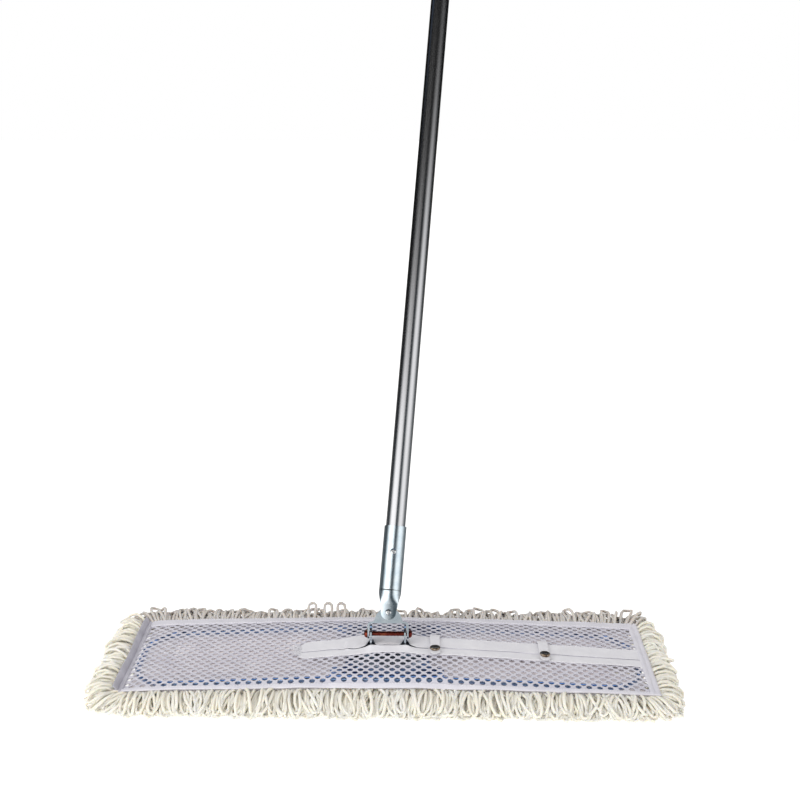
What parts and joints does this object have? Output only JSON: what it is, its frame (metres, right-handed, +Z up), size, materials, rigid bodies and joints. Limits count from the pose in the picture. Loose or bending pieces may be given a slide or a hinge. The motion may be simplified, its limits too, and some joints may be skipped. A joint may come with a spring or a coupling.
{
  "type": "flat mop",
  "caption": "Wide looped-yarn dust mop: mesh pocket over a wire frame, two-way swivel and a long tubular handle.",
  "frame": {"origin": "on the floor below the middle of the swivel's axle", "axes": "+X along the head to the right, +Y to the rear, the way the handle leans, +Z up"},
  "size_m": [0.686, 0.7855, 1.4055],
  "materials": {
    "yarn": "looped cotton yarn, matt",
    "canvas": "plain canvas",
    "mesh": "knitted large-hole mesh",
    "hem_tape": "woven tape, stitched",
    "tab_tape": "woven tape, white",
    "zinc": "bright zinc plate, slightly blue",
    "bright_steel": "polished",
    "copper_steel": "copper-coloured plate",
    "aluminium": "satin anodised",
    "grey_plastic": "fine texture",
    "snap_metal": "antique bronze snap"
  },
  "bodies": {
    "mop_head": {"yarn_pile": "yarn", "mop_backing": "canvas", "fringe_front": "yarn", "fringe_rear": "yarn", "fringe_left": "yarn", "fringe_right": "yarn", "mesh_cover": "mesh", "hem_front": "hem_tape", "hem_rear": "hem_tape", "hem_left": "hem_tape", "hem_right": "hem_tape", "slit_tape_front": "hem_tape", "slit_tape_rear": "hem_tape", "centre_plate": "zinc", "wire_loop_left": "zinc", "wire_loop_right": "zinc", "base_bracket": "zinc", "bracket_rivets": "bright_steel", "snap_stud_centre": "snap_metal", "snap_stud_right": "snap_metal"},
    "swivel": {"yoke": "zinc", "axle_pin": "copper_steel", "axle_cap": "copper_steel", "saddle": "zinc", "pivot_rivet": "bright_steel", "pivot_washer": "zinc"},
    "handle": {"handle_socket": "zinc", "socket_screw": "bright_steel", "handle_tube": "aluminium", "end_cap": "grey_plastic"},
    "tab_centre": {"snap_tab_centre": "tab_tape", "snap_cap_centre": "snap_metal", "snap_socket_centre": "snap_metal"},
    "tab_right": {"snap_tab_right": "tab_tape", "snap_cap_right": "snap_metal", "snap_socket_right": "snap_metal"}
  },
  "joints": [
    {"name": "yoke_tilt", "type": "hinge", "parent": "mop_head", "child": "swivel", "pos_m": [0, 0, 0.048], "axis": [1, 0, 0], "range_deg": [-54, 110]},
    {"name": "handle_swing", "type": "hinge", "parent": "swivel", "child": "handle", "pos_m": [0, 0.01096, 0.07047], "axis": [0, 0.8988, -0.4384], "range_deg": [-64.39, 55.61]},
    {"name": "tab_centre_fold", "type": "hinge", "parent": "mop_head", "child": "tab_centre", "pos_m": [0.056, 0.02, 0.0328], "axis": [-1, 0, 0], "range_deg": [0, 165]},
    {"name": "tab_right_fold", "type": "hinge", "parent": "mop_head", "child": "tab_right", "pos_m": [0.18605, 0.02, 0.02584], "axis": [-0.9981, 0, 0.0609], "range_deg": [0, 165]}
  ]
}
